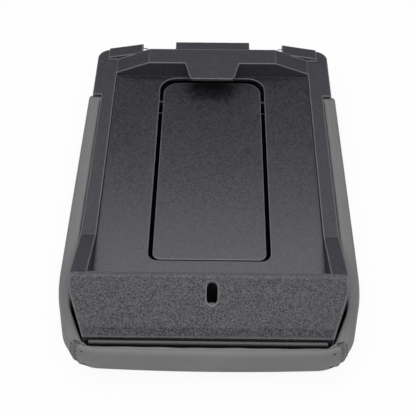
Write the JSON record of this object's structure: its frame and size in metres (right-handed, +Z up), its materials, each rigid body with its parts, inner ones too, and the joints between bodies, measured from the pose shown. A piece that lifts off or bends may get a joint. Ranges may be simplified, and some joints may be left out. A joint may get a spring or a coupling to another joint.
{
  "type": "center console lid",
  "caption": "Padded console lid lying underside up: grey sewn cover, black moulded frame, liner with a pocket, wedge latch housing and hinge knuckles.",
  "frame": {"origin": "middle of the lid's length and width, on the padded face that it lies on", "axes": "+X across the lid, +Y from the latch end to the hinge end, +Z up, which is the lid's underside, as it lies in the picture"},
  "size_m": [0.2648, 0.387, 0.072],
  "materials": {
    "cover_vinyl": "grey sewn vinyl with a fine grain",
    "foam": "moulded polyurethane foam",
    "smooth_plastic": "smooth satin black plastic",
    "grained_plastic": "black plastic with a fine moulded grain",
    "coarse_plastic": "black plastic with a coarse moulded grain",
    "inner_plastic": "unlit black plastic inside the lid",
    "gloss_plastic": "glossy black plastic",
    "steel": "plain steel"
  },
  "bodies": {
    "lid": {"cover_skin": "cover_vinyl", "foam_pad": "foam", "lid_shell": "inner_plastic", "inner_frame": "smooth_plastic", "liner_panel": "grained_plastic", "pocket_insert": "grained_plastic", "latch_housing": "coarse_plastic", "latch_pin": "steel", "latch_spring": "steel", "hinge_pin_left": "steel", "hinge_pin_right": "steel", "rear_cap": "smooth_plastic", "frame_screws": "steel", "housing_screws": "steel", "cap_screws": "steel"},
    "latch": {"release_bar": "gloss_plastic", "latch_pawl": "gloss_plastic"}
  },
  "joints": [
    {"name": "latch_release", "type": "hinge", "parent": "lid", "child": "latch", "pos_m": [0.003, -0.1515, 0.034], "axis": [1, 0, 0], "range_deg": [0, 9], "stiffness_Nm_per_rad": 0.3, "springref_deg": -20.05}
  ]
}
